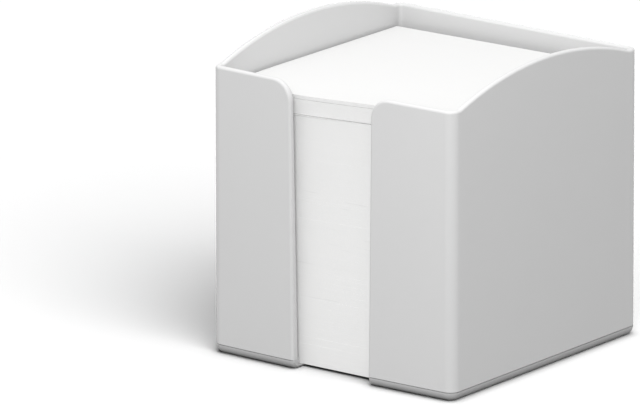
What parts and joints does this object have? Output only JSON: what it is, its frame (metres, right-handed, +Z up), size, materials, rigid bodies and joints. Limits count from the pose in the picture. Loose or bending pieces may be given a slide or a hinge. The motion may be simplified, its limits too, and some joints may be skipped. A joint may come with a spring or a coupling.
{
  "type": "memo note holder",
  "caption": "Open-topped desk holder for a block of loose square note sheets, with arched side walls, a full-height finger slot in the front and a rounded foot band.",
  "frame": {"origin": "centre of the footprint, on the surface that the holder stands on", "axes": "+Z up; the slotted front faces -Y; +X to the right when looking at the front"},
  "size_m": [0.097, 0.1012, 0.1039],
  "materials": {
    "holder_plastic": "satin light grey moulded plastic",
    "note_paper": "uncoated white note paper"
  },
  "bodies": {
    "holder": {"wall_shell": "holder_plastic", "base_plate": "holder_plastic"},
    "note_sheaf_1_body": {"note_sheaf_1": "note_paper"},
    "note_sheaf_2_body": {"note_sheaf_2": "note_paper"},
    "note_sheaf_3_body": {"note_sheaf_3": "note_paper"},
    "note_sheaf_4_body": {"note_sheaf_4": "note_paper"},
    "note_sheaf_5_body": {"note_sheaf_5": "note_paper"},
    "note_sheaf_6_body": {"note_sheaf_6": "note_paper"},
    "note_sheaf_7_body": {"note_sheaf_7": "note_paper"},
    "upper_sheaf_body": {"upper_sheaf": "note_paper"},
    "top_notes_body": {"top_notes": "note_paper"}
  },
  "joints": [
    {"name": "note_sheaf_1_lift", "type": "slide", "parent": "holder", "child": "note_sheaf_1_body", "axis": [0, 0, 1], "range_m": [0, 0.11]},
    {"name": "note_sheaf_2_lift", "type": "slide", "parent": "note_sheaf_1_body", "child": "note_sheaf_2_body", "axis": [0, 0, 1], "range_m": [0, 0.105]},
    {"name": "note_sheaf_3_lift", "type": "slide", "parent": "note_sheaf_2_body", "child": "note_sheaf_3_body", "axis": [0, 0, 1], "range_m": [0, 0.095]},
    {"name": "note_sheaf_4_lift", "type": "slide", "parent": "note_sheaf_3_body", "child": "note_sheaf_4_body", "axis": [0, 0, 1], "range_m": [0, 0.08]},
    {"name": "note_sheaf_5_lift", "type": "slide", "parent": "note_sheaf_4_body", "child": "note_sheaf_5_body", "axis": [0, 0, 1], "range_m": [0, 0.07]},
    {"name": "note_sheaf_6_lift", "type": "slide", "parent": "note_sheaf_5_body", "child": "note_sheaf_6_body", "axis": [0, 0, 1], "range_m": [0, 0.055]},
    {"name": "note_sheaf_7_lift", "type": "slide", "parent": "note_sheaf_6_body", "child": "note_sheaf_7_body", "axis": [0, 0, 1], "range_m": [0, 0.045]},
    {"name": "upper_sheaf_lift", "type": "slide", "parent": "note_sheaf_7_body", "child": "upper_sheaf_body", "axis": [0, 0, 1], "range_m": [0, 0.025]},
    {"name": "top_notes_lift", "type": "slide", "parent": "upper_sheaf_body", "child": "top_notes_body", "axis": [0, 0, 1], "range_m": [0, 0.02]}
  ]
}
